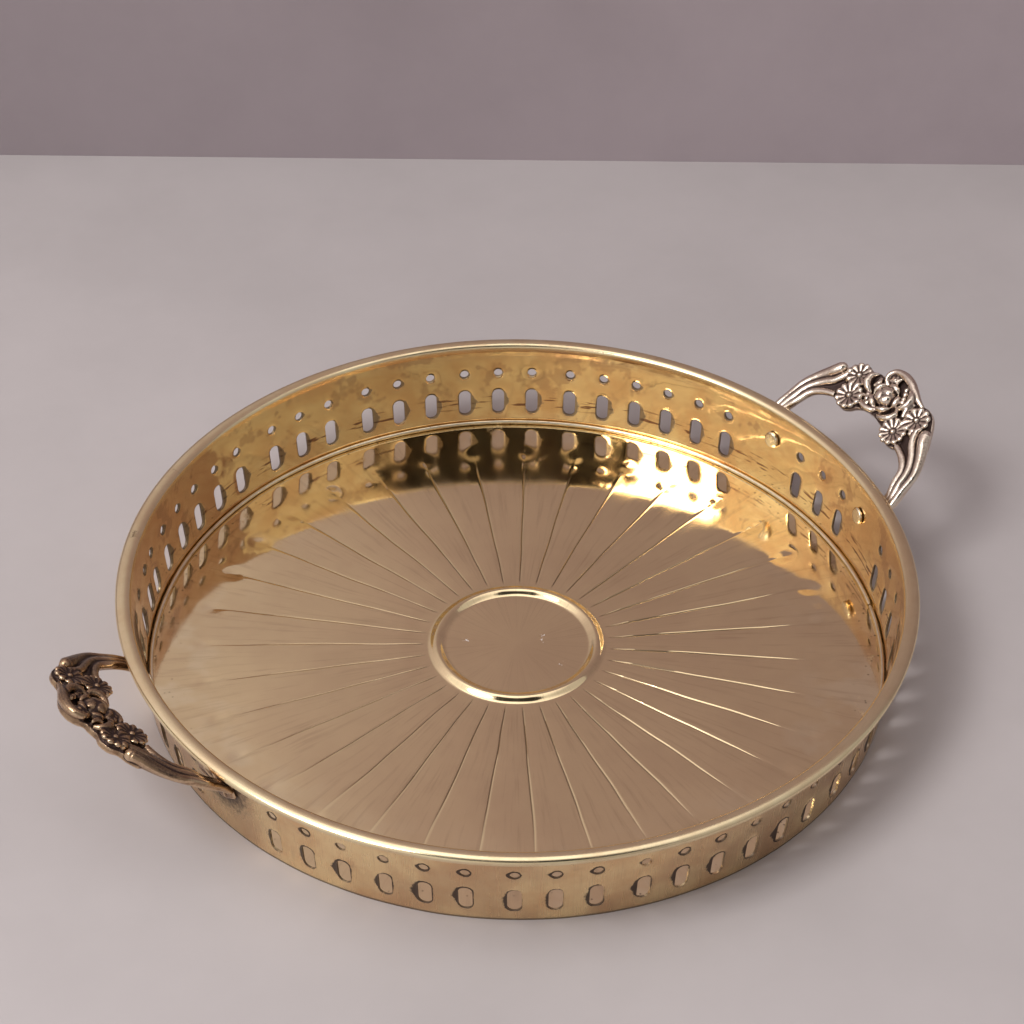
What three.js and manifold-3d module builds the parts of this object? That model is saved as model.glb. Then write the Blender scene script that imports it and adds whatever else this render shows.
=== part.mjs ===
// A round brass gallery tray: a fluted floor, a low pierced wall with a wired rim, a ring covering the
// inside corner, and two cast flower handles riveted to the wall. Millimetres, +Z up. The tray rests on
// z = 0 with its axis on Z, and the handles stand out along +X and -X.
import * as THREE from "three";
import { mergeVertices } from "three/addons/utils/BufferGeometryUtils.js";
import Module from "manifold-3d";

// Driving dimensions
const RIM_RADIUS = 165; // outermost edge of the rolled rim
const RIM_TOP = 42;
const BEAD_RADIUS = 2.6; // outside of the sheet where it wraps the wire
const CURL_SHEET = 0.7;
const WIRE_RADIUS = 1.5;
const WALL_SHEET = 0.9;
const WALL_FOOT_RADIUS = 155; // outer face at z = 0
const WALL_TOP_RADIUS = 158.8; // outer face where the roll begins
const WALL_TOP = 36;
const TURNS = 60; // facets round the tray

const FLOOR_RADIUS = 153.6;
const FLOOR_TOP = 1;
const FLUTES = 35;
const FLUTE_RISE = 0.45; // crest above the grooves
const FLUTE_FACETS = 3;
const FLUTE_START = 42;
const FLUTE_FULL = 50;
const FLUTE_FADE = 120;
const FLUTE_END = 137;
const FLUTE_PHASE = 5.0; // azimuth of one groove, degrees
const MEDALLION_RADIUS = 33.8; // middle of the raised ring
const MEDALLION_HALF_WIDTH = 3.7;
const MEDALLION_RISE = 1.8;

const SEAM_RADIUS = 153.15;
const SEAM_WIRE = 0.85;
const SEAM_Z = 2.15;
const SEAM_GAP_AZIMUTH = -22.6; // degrees, where the ring's two ends meet
const SEAM_GAP = 0.8;

const SLOT_WIDTH = 6;
const SLOT_FOOT = 6.2;
const SLOT_TOP = 19;
const SLOT_CORNER = 2.2;
const HOLE_RADIUS = 2.1;
const PIERCING_Z = 27.4; // round holes and rivets
const GROUP_PITCH = 5.68; // degrees between the three slots of a group
// Middles of the groups of three, degrees: one at each handle, eight along each side, spaced by hand.
const GROUPS = [
  -0.3, 26.6, 43.6, 61.4, 78.6, 96.9, 116.1, 132.8, 148.3,
  179.7, 207.8, 225.4, 243.5, 261.6, 278.8, 296.7, 315.5, 333.9,
];

const HANDLE_LEAN = 33; // degrees above level
const HANDLE_ROOT_X = 164.2; // where the handle's plane meets the rim's height
const HANDLE_ROOT_Z = 39.4;
const HANDLE_SHEET = 3.2;
const ARM_WIDTH = 8.4;
const ARM_THICKNESS = 3.6;
const PAD_THICKNESS = 2;
const RIVET_AZIMUTH = 11.6; // degrees each side of the handle's middle
const RIVET_SHANK = 1.6;
const RIVET_HEAD = 3.75;
const RIVET_HEAD_THICKNESS = 1.2;
const FIT = 0.3; // clearance between neighbouring pieces

const beadCentre = { r: RIM_RADIUS - BEAD_RADIUS, z: RIM_TOP - BEAD_RADIUS };
const wallSlope = (WALL_TOP_RADIUS - WALL_FOOT_RADIUS) / WALL_TOP;
const wallAngle = Math.atan(wallSlope);
const wallRadius = (z) => WALL_FOOT_RADIUS + wallSlope * z;
const lean = THREE.MathUtils.degToRad(HANDLE_LEAN);

const wasm = await Module();
wasm.setup();

// Solids -----------------------------------------------------------------------------------------

function toSolid(geometry) {
  const bare = geometry.index ? geometry.toNonIndexed() : geometry.clone();
  const points = new THREE.BufferGeometry().setAttribute("position", bare.getAttribute("position"));
  const merged = mergeVertices(points, 1e-3);
  return new wasm.Manifold(
    new wasm.Mesh({
      numProp: 3,
      vertProperties: merged.attributes.position.array,
      triVerts: new Uint32Array(merged.index.array),
    }),
  );
}

function toGeometry(solid) {
  const mesh = solid.getMesh();
  const geometry = new THREE.BufferGeometry();
  geometry.setAttribute("position", new THREE.Float32BufferAttribute(mesh.vertProperties, 3));
  geometry.setIndex(new THREE.Uint32BufferAttribute(mesh.triVerts, 1));
  geometry.computeVertexNormals();
  return geometry;
}

const join = (solids) => solids.reduce((whole, piece) => whole.add(piece));

// A closed (radius, height) outline, listed counter-clockwise, spun round Z.
function spin(outline, turns = TURNS) {
  const points = outline.map(([r, z]) => new THREE.Vector2(r, z));
  const closed = outline[0][0] > 0 ? [...points, points[0]] : points;
  return new THREE.LatheGeometry(closed, turns).rotateX(Math.PI / 2).rotateZ(Math.PI / 2);
}

const arc = (centre, radius, fromDeg, toDeg, steps) =>
  Array.from({ length: steps + 1 }, (_, i) => {
    const a = THREE.MathUtils.degToRad(fromDeg + ((toDeg - fromDeg) * i) / steps);
    return [centre.r + radius * Math.cos(a), centre.z + radius * Math.sin(a)];
  });

// Turns a shape drawn as (sideways, up) and extruded outwards to face out from the axis at an azimuth.
function faceOut(geometry, azimuthDeg, startRadius) {
  const a = THREE.MathUtils.degToRad(azimuthDeg);
  const out = new THREE.Vector3(Math.cos(a), Math.sin(a), 0);
  const side = new THREE.Vector3(-Math.sin(a), Math.cos(a), 0);
  const frame = new THREE.Matrix4().makeBasis(side, new THREE.Vector3(0, 0, 1), out);
  frame.setPosition(out.multiplyScalar(startRadius));
  return geometry.applyMatrix4(frame);
}

// Gallery band: wall, roll round the wire, slots and holes ------------------------------------------

function bandBlank() {
  return spin([
    [WALL_FOOT_RADIUS - WALL_SHEET, 0],
    [WALL_FOOT_RADIUS, 0],
    [WALL_TOP_RADIUS, WALL_TOP],
    ...arc(beadCentre, BEAD_RADIUS - CURL_SHEET, 215, -110, 7),
    ...arc(beadCentre, BEAD_RADIUS, -110, 190, 8),
    [WALL_TOP_RADIUS - WALL_SHEET, WALL_TOP],
  ]);
}

function slotShape() {
  const w = SLOT_WIDTH / 2;
  const c = SLOT_CORNER;
  const shape = new THREE.Shape();
  shape.moveTo(-w, SLOT_FOOT + c);
  shape.lineTo(-w + c, SLOT_FOOT);
  shape.lineTo(w - c, SLOT_FOOT);
  shape.lineTo(w, SLOT_FOOT + c);
  shape.lineTo(w, SLOT_TOP - c);
  shape.lineTo(w - c, SLOT_TOP);
  shape.lineTo(-w + c, SLOT_TOP);
  shape.lineTo(-w, SLOT_TOP - c);
  shape.closePath();
  return shape;
}

const roundShape = (radius, z, sides = 6) => {
  const corner = (i) => (2 * Math.PI * (i + 0.5)) / sides;
  const points = Array.from({ length: sides }, (_, i) =>
    new THREE.Vector2(radius * Math.cos(corner(i)), z + radius * Math.sin(corner(i))));
  return new THREE.Shape(points);
};

function punch(shape, azimuthDeg) {
  const reach = { depth: 20, bevelEnabled: false };
  return toSolid(faceOut(new THREE.ExtrudeGeometry(shape, reach), azimuthDeg, WALL_FOOT_RADIUS - 10));
}

const rivetAzimuths = [0, 180].flatMap((side) => [side - RIVET_AZIMUTH, side + RIVET_AZIMUTH]);

function galleryBand() {
  const punches = GROUPS.flatMap((middle) =>
    [-GROUP_PITCH, 0, GROUP_PITCH].flatMap((offset) => [
      punch(slotShape(), middle + offset),
      punch(roundShape(HOLE_RADIUS, PIERCING_Z), middle + offset),
    ]));
  const rivetHoles = rivetAzimuths.map((azimuth) =>
    punch(roundShape(RIVET_SHANK + 2 * FIT, PIERCING_Z, 8), azimuth));
  return toGeometry(toSolid(bandBlank()).subtract(join([...punches, ...rivetHoles])));
}

const rimWire = () => spin(arc(beadCentre, WIRE_RADIUS, 0, 360, 6).slice(0, -1));

// Floor: flat sheet with a raised ring and pillowed flutes fading out before the wall ---------------

function fluteHeight(radius, azimuth) {
  const { smoothstep } = THREE.MathUtils;
  const strength = smoothstep(radius, FLUTE_START, FLUTE_FULL) * (1 - smoothstep(radius, FLUTE_FADE, FLUTE_END));
  const turn = ((azimuth - THREE.MathUtils.degToRad(FLUTE_PHASE)) * FLUTES) / (2 * Math.PI);
  const across = 2 * (turn - Math.floor(turn + 1e-6)) - 1;
  return FLUTE_RISE * strength * (1 - across * across);
}

function floorPan() {
  const ring = (offset, rise) => [MEDALLION_RADIUS + offset * MEDALLION_HALF_WIDTH, FLOOR_TOP + rise];
  const outline = [
    [0, 0],
    [FLOOR_RADIUS, 0],
    [FLOOR_RADIUS, FLOOR_TOP],
    [FLUTE_END, FLOOR_TOP],
    [FLUTE_FADE, FLOOR_TOP],
    [FLUTE_FULL, FLOOR_TOP],
    [FLUTE_START, FLOOR_TOP],
    ring(1, 0),
    ring(0.6, 0.7 * MEDALLION_RISE),
    ring(0, MEDALLION_RISE),
    ring(-0.6, 0.7 * MEDALLION_RISE),
    ring(-1, 0),
    [0, FLOOR_TOP],
  ];
  const turns = FLUTES * FLUTE_FACETS;
  const geometry = spin(outline, turns).rotateZ(THREE.MathUtils.degToRad(FLUTE_PHASE) - Math.PI / 2);
  const position = geometry.getAttribute("position");
  for (let i = 0; i < position.count; i++) {
    const radius = Math.hypot(position.getX(i), position.getY(i));
    const azimuth = Math.atan2(position.getY(i), position.getX(i));
    if (position.getZ(i) > FLOOR_TOP / 2) {
      position.setZ(i, position.getZ(i) + fluteHeight(radius, azimuth));
    }
  }
  return toGeometry(toSolid(geometry));
}

// Corner ring: a soft wire bent round with its two ends almost meeting ------------------------------

class ArcPath extends THREE.Curve {
  constructor(radius, z, fromAngle, sweep) {
    super();
    Object.assign(this, { radius, z, fromAngle, sweep });
  }
  getPoint(t, target = new THREE.Vector3()) {
    const a = this.fromAngle + t * this.sweep;
    return target.set(this.radius * Math.cos(a), this.radius * Math.sin(a), this.z);
  }
}

function seamRing() {
  const gap = SEAM_GAP / SEAM_RADIUS;
  const start = THREE.MathUtils.degToRad(SEAM_GAP_AZIMUTH) + gap / 2;
  const path = new ArcPath(SEAM_RADIUS, SEAM_Z, start, 2 * Math.PI - gap);
  return new THREE.ExtrudeGeometry(roundShape(SEAM_WIRE, 0), { steps: TURNS, extrudePath: path });
}

// Handles -------------------------------------------------------------------------------------------

// Handle drawings use (sideways, outwards, proud): sideways along Y, outwards up the lean from the rim.
function handlePoint(sideways, outwards, proud = 0) {
  return new THREE.Vector3(
    HANDLE_ROOT_X + outwards * Math.cos(lean) - proud * Math.sin(lean),
    sideways,
    HANDLE_ROOT_Z + outwards * Math.sin(lean) + proud * Math.cos(lean),
  );
}

function leanOver(geometry) {
  const side = new THREE.Vector3(0, 1, 0);
  const out = new THREE.Vector3(Math.cos(lean), 0, Math.sin(lean));
  const proud = new THREE.Vector3(-Math.sin(lean), 0, Math.cos(lean));
  // (side, out, proud) is left-handed, so the drawing is mirrored sideways by the caller's own numbers.
  const frame = new THREE.Matrix4().makeBasis(side.negate(), out, proud);
  frame.setPosition(handlePoint(0, 0));
  return geometry.applyMatrix4(frame);
}

// The flower crest seen from above, as (sideways to the right, outwards).
const CREST = [
  [-28, 15.5], [-18, 17], [-8, 20], [0, 21.5], [9, 20.5], [20, 17], [30, 15],
  [34, 24], [28, 32], [22, 38], [15, 38.5], [9, 42.5], [2, 44.5], [-5, 43.5], [-8.5, 39], [-13, 36.5],
  [-20, 36], [-27, 30.5], [-33, 24],
];
const DAISY_RADIUS = 5.8;
const DAISIES = [[-15.5, 21], [15.5, 21.5], [-19.5, 31.5], [20, 32.5]];
const BLOOM = { at: [0, 31], radius: 7, rise: 2.4 };
const SCROLL = { at: [-1, 37.5], radius: 5.4, wire: 1.8 };

function crestSolid() {
  const shape = new THREE.Shape(CREST.map(([x, y]) => new THREE.Vector2(x, y)));
  const plate = new THREE.ExtrudeGeometry(shape, { depth: HANDLE_SHEET, bevelEnabled: false });
  plate.translate(0, 0, -HANDLE_SHEET);
  const daisies = DAISIES.map(([x, y]) =>
    new THREE.CylinderGeometry(DAISY_RADIUS - 1.4, DAISY_RADIUS, HANDLE_SHEET + 1.2, 8)
      .rotateX(Math.PI / 2)
      .translate(x, y, 1.2 - (HANDLE_SHEET + 1.2) / 2));
  const bloom = new THREE.SphereGeometry(BLOOM.radius, 8, 5)
    .scale(1, 1, BLOOM.rise / BLOOM.radius)
    .translate(...BLOOM.at, 0);
  const scroll = new THREE.TorusGeometry(SCROLL.radius, SCROLL.wire, 5, 12)
    .translate(...SCROLL.at, 0);
  return join([plate, ...daisies, bloom, scroll].map((piece) => toSolid(leanOver(piece))));
}

// One arm, from the crest down and round the rim's outside to the wall, on the side of the given sign.
function armPath(sign) {
  const footRadius = wallRadius(30) + FIT + PAD_THICKNESS / 2;
  const foot = (radius, y, z) => new THREE.Vector3(Math.sqrt(radius * radius - y * y), sign * y, z);
  return new THREE.CatmullRomCurve3([
    foot(footRadius, 39.2, 29.5),
    foot(footRadius + 3.4, 39.6, 32.8),
    foot(footRadius + 8.6, 39.2, 37.2),
    handlePoint(sign * 38.2, 5, -1.2),
    handlePoint(sign * 36, 12, -1.4),
    handlePoint(sign * 32, 19.5, -1.4),
    handlePoint(sign * 27, 25, -1.4),
    handlePoint(sign * 21, 28, -1.4),
  ]);
}

// Half the reeded cross-section's outline: three reeds on top, flat beneath.
function armSection() {
  const w = ARM_WIDTH / 2;
  const h = ARM_THICKNESS / 2;
  const top = [[w, 0.1], [0.8 * w, 0.75], [0.36 * w, 0.62], [0, 1], [-0.36 * w, 0.62], [-0.8 * w, 0.75], [-w, 0.1]];
  const outline = [[-0.8 * w, -1], [0.8 * w, -1], ...top].map(([x, y]) => new THREE.Vector2(x, y * h));
  return new THREE.Shape(outline);
}

function armSolid(sign) {
  const path = armPath(sign);
  const up = new THREE.Vector3(-Math.sin(lean), 0, Math.cos(lean));
  const arm = new THREE.ExtrudeGeometry(armSection(), { depth: 1, steps: 9, bevelEnabled: false });
  const position = arm.getAttribute("position");
  const place = new THREE.Vector3();
  for (let i = 0; i < position.count; i++) {
    const along = Math.min(1, Math.max(0, position.getZ(i)));
    const tangent = path.getTangentAt(along);
    const wide = new THREE.Vector3().crossVectors(up, tangent).normalize();
    const thick = new THREE.Vector3().crossVectors(tangent, wide);
    const taper = 0.72 + 0.28 * THREE.MathUtils.smoothstep(along, 0, 0.4);
    place.copy(path.getPointAt(along));
    place.addScaledVector(wide, taper * position.getX(i));
    place.addScaledVector(thick, position.getY(i));
    position.setXYZ(i, place.x, place.y, place.z);
  }
  return toSolid(arm);
}

// A leaf-shaped foot, curved to lie against the wall, with its tip towards the handle's middle.
const PAD_OUTLINE = [
  [9.5, 4], [10.5, -1], [7, -5.5], [0, -6.2], [-7, -4.6], [-12, -0.5], [-9, 3.8], [-2, 6.2], [5, 7],
];

function padSolid(sign) {
  const shellInner = (z) => wallRadius(z) + FIT;
  const shell = spin([
    [shellInner(15), 15],
    [shellInner(15) + PAD_THICKNESS, 15],
    [shellInner(WALL_TOP) + PAD_THICKNESS, WALL_TOP],
    [shellInner(WALL_TOP), WALL_TOP],
  ]);
  const points = PAD_OUTLINE.map(([x, z]) => new THREE.Vector2(sign * x, PIERCING_Z + z));
  const leaf = new THREE.ExtrudeGeometry(new THREE.Shape(points), { depth: 20, bevelEnabled: false });
  return toSolid(shell).intersect(toSolid(faceOut(leaf, sign * RIVET_AZIMUTH, WALL_FOOT_RADIUS - 5)));
}

function handle() {
  const shankHoles = [-1, 1].map((sign) =>
    punch(roundShape(RIVET_SHANK + FIT, PIERCING_Z, 8), sign * RIVET_AZIMUTH));
  const arms = [-1, 1].map((sign) => armSolid(sign));
  const pads = [-1, 1].map((sign) => padSolid(sign));
  return toGeometry(join([crestSolid(), ...arms, ...pads]).subtract(join(shankHoles)));
}

// Rivets: a flat head inside the wall, a shank through the wall and the handle's foot ----------------

function rivet(azimuthDeg) {
  const headFace = -(WALL_SHEET + 2 * FIT);
  const end = FIT + PAD_THICKNESS;
  const outline = [
    [0, headFace - RIVET_HEAD_THICKNESS],
    [RIVET_HEAD - 0.5, headFace - RIVET_HEAD_THICKNESS],
    [RIVET_HEAD, headFace - RIVET_HEAD_THICKNESS + 0.4],
    [RIVET_HEAD, headFace],
    [RIVET_SHANK, headFace],
    [RIVET_SHANK, end],
    [0, end],
  ];
  const body = spin(outline, 12).rotateY(Math.PI / 2 + wallAngle);
  body.translate(wallRadius(PIERCING_Z), 0, PIERCING_Z);
  return body.rotateZ(THREE.MathUtils.degToRad(azimuthDeg));
}

// The tray ------------------------------------------------------------------------------------------

const brass = (color, roughness) => new THREE.MeshStandardMaterial({ color, roughness, metalness: 1 });
const floorBrass = brass(0xb99a6c, 0.16);
const wallBrass = brass(0xd2a860, 0.18);
const castBrass = brass(0x9a8160, 0.34);

const tray = new THREE.Group();

function addPiece(name, geometry, material) {
  const mesh = new THREE.Mesh(geometry, material);
  mesh.name = name;
  tray.add(mesh);
  return mesh;
}

addPiece("floor_pan", floorPan(), floorBrass);
addPiece("gallery_band", galleryBand(), wallBrass);
addPiece("rim_wire", rimWire(), wallBrass);
addPiece("seam_ring", seamRing(), wallBrass);
addPiece("handle_right", handle(), castBrass);
addPiece("handle_left", handle(), castBrass).rotation.z = Math.PI;
["right_front", "right_back", "left_back", "left_front"].forEach((place, i) => {
  addPiece(`rivet_${place}`, rivet(rivetAzimuths[i]), wallBrass);
});

export default tray;
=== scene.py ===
"""A round brass gallery tray: fluted floor, pierced wall, rolled rim, corner ring, two cast flower handles.

Drawings are in millimetres and become metres when a piece is made. +Z is up and the handles stand along X.
"""

import math

import bmesh
import bpy
import numpy as np
from mathutils import Matrix, Vector


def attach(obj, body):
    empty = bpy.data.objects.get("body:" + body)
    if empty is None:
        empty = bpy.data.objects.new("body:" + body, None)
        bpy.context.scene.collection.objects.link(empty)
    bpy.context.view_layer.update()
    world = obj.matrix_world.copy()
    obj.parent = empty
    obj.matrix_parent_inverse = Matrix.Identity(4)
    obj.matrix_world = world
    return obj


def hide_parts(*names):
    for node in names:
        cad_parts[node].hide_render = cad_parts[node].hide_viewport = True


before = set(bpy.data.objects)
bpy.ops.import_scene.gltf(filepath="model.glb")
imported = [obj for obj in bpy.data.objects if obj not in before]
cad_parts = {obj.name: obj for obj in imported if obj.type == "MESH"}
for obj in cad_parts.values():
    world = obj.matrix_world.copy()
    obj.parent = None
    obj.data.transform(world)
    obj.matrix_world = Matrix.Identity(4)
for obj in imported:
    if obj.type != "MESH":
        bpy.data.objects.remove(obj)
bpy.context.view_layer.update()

MM = 0.001

# Wall and rim
RIM_RADIUS = 165.0
RIM_TOP = 42.0
BEAD_HALF = (3.2, 2.0)  # half-width and half-height of the rolled rim
CURL_SHEET = 0.7  # the rolled edge is thinner than the wall
WIRE_RADIUS = 1.1
WALL_SHEET = 0.9
WALL_FOOT_RADIUS = 155.0
WALL_TOP_RADIUS = 158.8
WALL_TOP = 36.0
FLARE = 0.25
FLARE_START, FLARE_END = 34.0, 38.7
BEAD_CENTRE = (RIM_RADIUS - BEAD_HALF[0], RIM_TOP - BEAD_HALF[1])
ROLLING_RADIUS = 157.0  # the flat blank of the wall is drawn at this radius
SLOT_HALF = (2.75, 6.2)
SLOT_MIDDLE = 12.4
SLOT_CORNER = 2.6
HOLE_RADIUS = 1.95
PIERCING_Z = 27.4
SLOT_ROOM_TOP = 22.9  # the blank is meshed in storeys: slots, holes, plain strip
HOLE_ROOM_TOP = 33.0
GROUP_PITCH = 5.68  # degrees between the three slots of a group
GROUPS = (-0.3, 26.6, 43.6, 61.4, 78.6, 96.9, 116.1, 132.8, 148.3,
          179.7, 207.8, 225.4, 243.5, 261.6, 278.8, 296.7, 315.5, 333.9)
ACROSS = 10  # mesh steps across one slot's room
SLOT_STEPS = 11
HOLE_STEPS = 8
PUNCH_BULGE = 0.22  # how far the punch pushed the sheet outwards at a cut's edge
BULGE_REACH = 1.2
STAIN_REACH = 0.8
LEE_REACH = 3.2  # stain trailing to one side of a cut
BURR, BURR_REACH = 0.16, 0.3
ROUNDING, ROUNDING_REACH = 0.12, 0.35
WORK_FADE = (24, 36)  # hand work fades out between these heights, under the rim
WALL_WORK = (0.00024, 0.00024, 0.0001)  # unevenness of the hand-worked sheet, in metres
WALL_WORK_SIZE = 0.017
WALL_SEED = 3.0

# Floor
FLOOR_RADIUS = 153.6
FLOOR_TOP = 1.0
FLUTES = 35
FLUTE_RISE = 0.25
FLUTE_PHASE = 5.0
FLUTE_START, FLUTE_FULL, FLUTE_FADE, FLUTE_END = 42.0, 50.0, 112.0, 139.0
GROOVE_DEPTH = 0.14
GROOVE_WIDTH = 0.24
DIMPLE_RADIUS = 131.0  # a shallow dent where each groove runs out
DIMPLE_HALF = (4.2, 3.4)
DIMPLE_DEPTH = 0.36
MEDALLION_RADIUS = 33.8
MEDALLION_HALF_WIDTH = 3.9
MEDALLION_RISE = 1.8
FLOOR_WORK = (0.0018, 0.0018, 0.00008)
FLOOR_WORK_SIZE = 0.03
FLOOR_SEED = 8.0

# Corner ring
SEAM_RADIUS = 153.15
SEAM_WIRE = 0.85
SEAM_Z = 2.15
SEAM_GAP_AZIMUTH = -22.6
SEAM_GAP = 0.8

# Handles
LEAN = math.radians(33)
HANDLE_ROOT = (164.2, 39.4)
CASTING_CELL = 0.345
RIVET_AZIMUTH = 11.6
RIVET_SHANK = 1.6
RIVET_HEAD = 3.75
RIVET_HEAD_THICKNESS = 1.2
FIT = 0.3
PAD_THICKNESS = 2.0
HOLLOW_DEPTH = 0.24  # a dip this deep in the casting is fully dark
SOFTENING_ROUNDS = 9

MERGE_DISTANCE = 0.00001


def wall_radius(z):
    """Outer face of the wall: a cone that flares gently into the rolled rim."""
    flare = FLARE * np.clip((z - FLARE_START) / (FLARE_END - FLARE_START), 0, 1) ** 2
    return WALL_FOOT_RADIUS + (WALL_TOP_RADIUS - WALL_FOOT_RADIUS) * z / WALL_TOP + flare


def ease(x, low, high):
    t = np.clip((np.asarray(x, float) - low) / (high - low), 0, 1)
    return t * t * (3 - 2 * t)


# Mesh making


def add_object(name, data):
    thing = bpy.data.objects.new(name, data)
    bpy.context.scene.collection.objects.link(thing)
    return thing


def mark_points(mesh, mark, values):
    values = np.asarray(values, np.float32)
    mesh.attributes.new(mark, "FLOAT", "POINT").data.foreach_set("value", values)


def around_axis(radius, turn, height):
    """Points at a radius and turn about an upright axis."""
    flat = (radius * np.cos(turn), radius * np.sin(turn))
    return np.stack([*flat, height + 0 * flat[0]], -1)


class Shell:
    """Points in millimetres, faces, and named marks with one number for each point."""

    def __init__(self, *marks):
        self.points, self.faces, self.count = [], [], 0
        self.marks = {mark: [] for mark in marks}

    def add(self, points, faces, **marks):
        points = np.asarray(points, float).reshape(-1, 3)
        self.points.append(points)
        self.faces.extend(tuple(int(i) + self.count for i in face) for face in faces)
        for mark, rows in self.marks.items():
            rows.append(np.broadcast_to(np.asarray(marks.get(mark, 0.0), float), (len(points),)))
        self.count += len(points)

    def grid(self, grid, around=False, along=False, **marks):
        """A sheet of quads; around closes the second direction, along the first."""
        grid = np.asarray(grid, float)
        rows, columns = grid.shape[:2]
        index = np.arange(rows * columns).reshape(rows, columns)
        if around:
            index = np.concatenate([index, index[:, :1]], 1)
        if along:
            index = np.concatenate([index, index[:1]], 0)
        corners = (index[:-1, :-1], index[1:, :-1], index[1:, 1:], index[:-1, 1:])
        faces = np.stack(corners, -1).reshape(-1, 4)
        flat = {mark: np.ravel(value) if np.ndim(value) else value for mark, value in marks.items()}
        self.add(grid, faces, **flat)

    def tube(self, rings, closed=False):
        """Rings of points joined into a closed body, with a fan over each end unless it closes on itself."""
        rings = np.asarray(rings, float)
        first = self.count
        self.grid(rings, around=True, along=closed)
        if closed:
            return
        size = rings.shape[1]
        for row, flip in ((0, False), (len(rings) - 1, True)):
            centre = self.count
            ring = [first + row * size + i for i in range(size)]
            self.points.append(rings[row].mean(0)[None])
            for rows in self.marks.values():
                rows.append(np.zeros(1))
            self.count += 1
            for i in range(size):
                pair = (ring[i], ring[(i + 1) % size])
                self.faces.append((centre, *(pair[::-1] if flip else pair)))

    def build(self, name):
        mesh = bpy.data.meshes.new(name)
        points = np.concatenate(self.points) * MM
        mesh.from_pydata(points.tolist(), [], self.faces)
        for mark, rows in self.marks.items():
            mark_points(mesh, mark, np.concatenate(rows))
        return add_object(name, mesh)


def face_outwards(piece, merge=0.0):
    work = bmesh.new()
    work.from_mesh(piece.data)
    if merge:
        bmesh.ops.remove_doubles(work, verts=work.verts, dist=merge)
    bmesh.ops.recalc_face_normals(work, faces=work.faces)
    work.to_mesh(piece.data)
    work.free()


def shade(piece, degrees=40):
    piece.data.shade_smooth()
    piece.data.set_sharp_from_angle(angle=math.radians(degrees))


def complete(piece, material, merge=0.0):
    piece.data.materials.append(material)
    face_outwards(piece, merge)
    shade(piece)
    return piece


def curve_through(points, count):
    """A smooth line through points, evenly stepped."""
    p = np.asarray(points, float)
    chord = np.concatenate([[0], np.cumsum(np.linalg.norm(np.diff(p, axis=0), axis=1))])
    slope = np.gradient(p, chord, axis=0)
    at = np.linspace(0, chord[-1], count)
    i = np.clip(np.searchsorted(chord, at, side="right") - 1, 0, len(p) - 2)
    h = (chord[i + 1] - chord[i])[:, None]
    t = (at - chord[i])[:, None] / h
    start = (2 * t**3 - 3 * t**2 + 1) * p[i] + (t**3 - 2 * t**2 + t) * h * slope[i]
    end = (3 * t**2 - 2 * t**3) * p[i + 1] + (t**3 - t**2) * h * slope[i + 1]
    return start + end


def taper(values, count, at=None):
    """Values spread evenly along count steps, or placed at the given shares of the way."""
    return np.interp(np.linspace(0, 1, count), np.linspace(0, 1, len(values)) if at is None else at, values)


def swept_rings(path, section, up, across=1.0, deep=1.0):
    """The section (sideways, up) carried along a path, scaled by across and deep."""
    path = np.asarray(path, float)
    tangent = np.gradient(path, axis=0)
    tangent /= np.linalg.norm(tangent, axis=1)[:, None]
    side = np.cross(np.broadcast_to(up, path.shape), tangent)
    side /= np.linalg.norm(side, axis=1)[:, None]
    rise = np.cross(tangent, side)
    across = np.broadcast_to(across, len(path))[:, None, None]
    deep = np.broadcast_to(deep, len(path))[:, None, None]
    section = np.asarray(section, float)
    sideways = across * side[:, None] * section[None, :, :1]
    return path[:, None] + sideways + deep * rise[:, None] * section[None, :, 1:]


def round_section(sides):
    a = np.arange(sides) * 2 * np.pi / sides
    return np.stack([np.cos(a), np.sin(a)], 1)


def oval(centre, wide, high, start, end, steps):
    a = np.radians(np.linspace(start, end, steps + 1))
    return [(centre[0] + wide * math.cos(v), centre[1] + high * math.sin(v)) for v in a]


# Node shorthand


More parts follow.
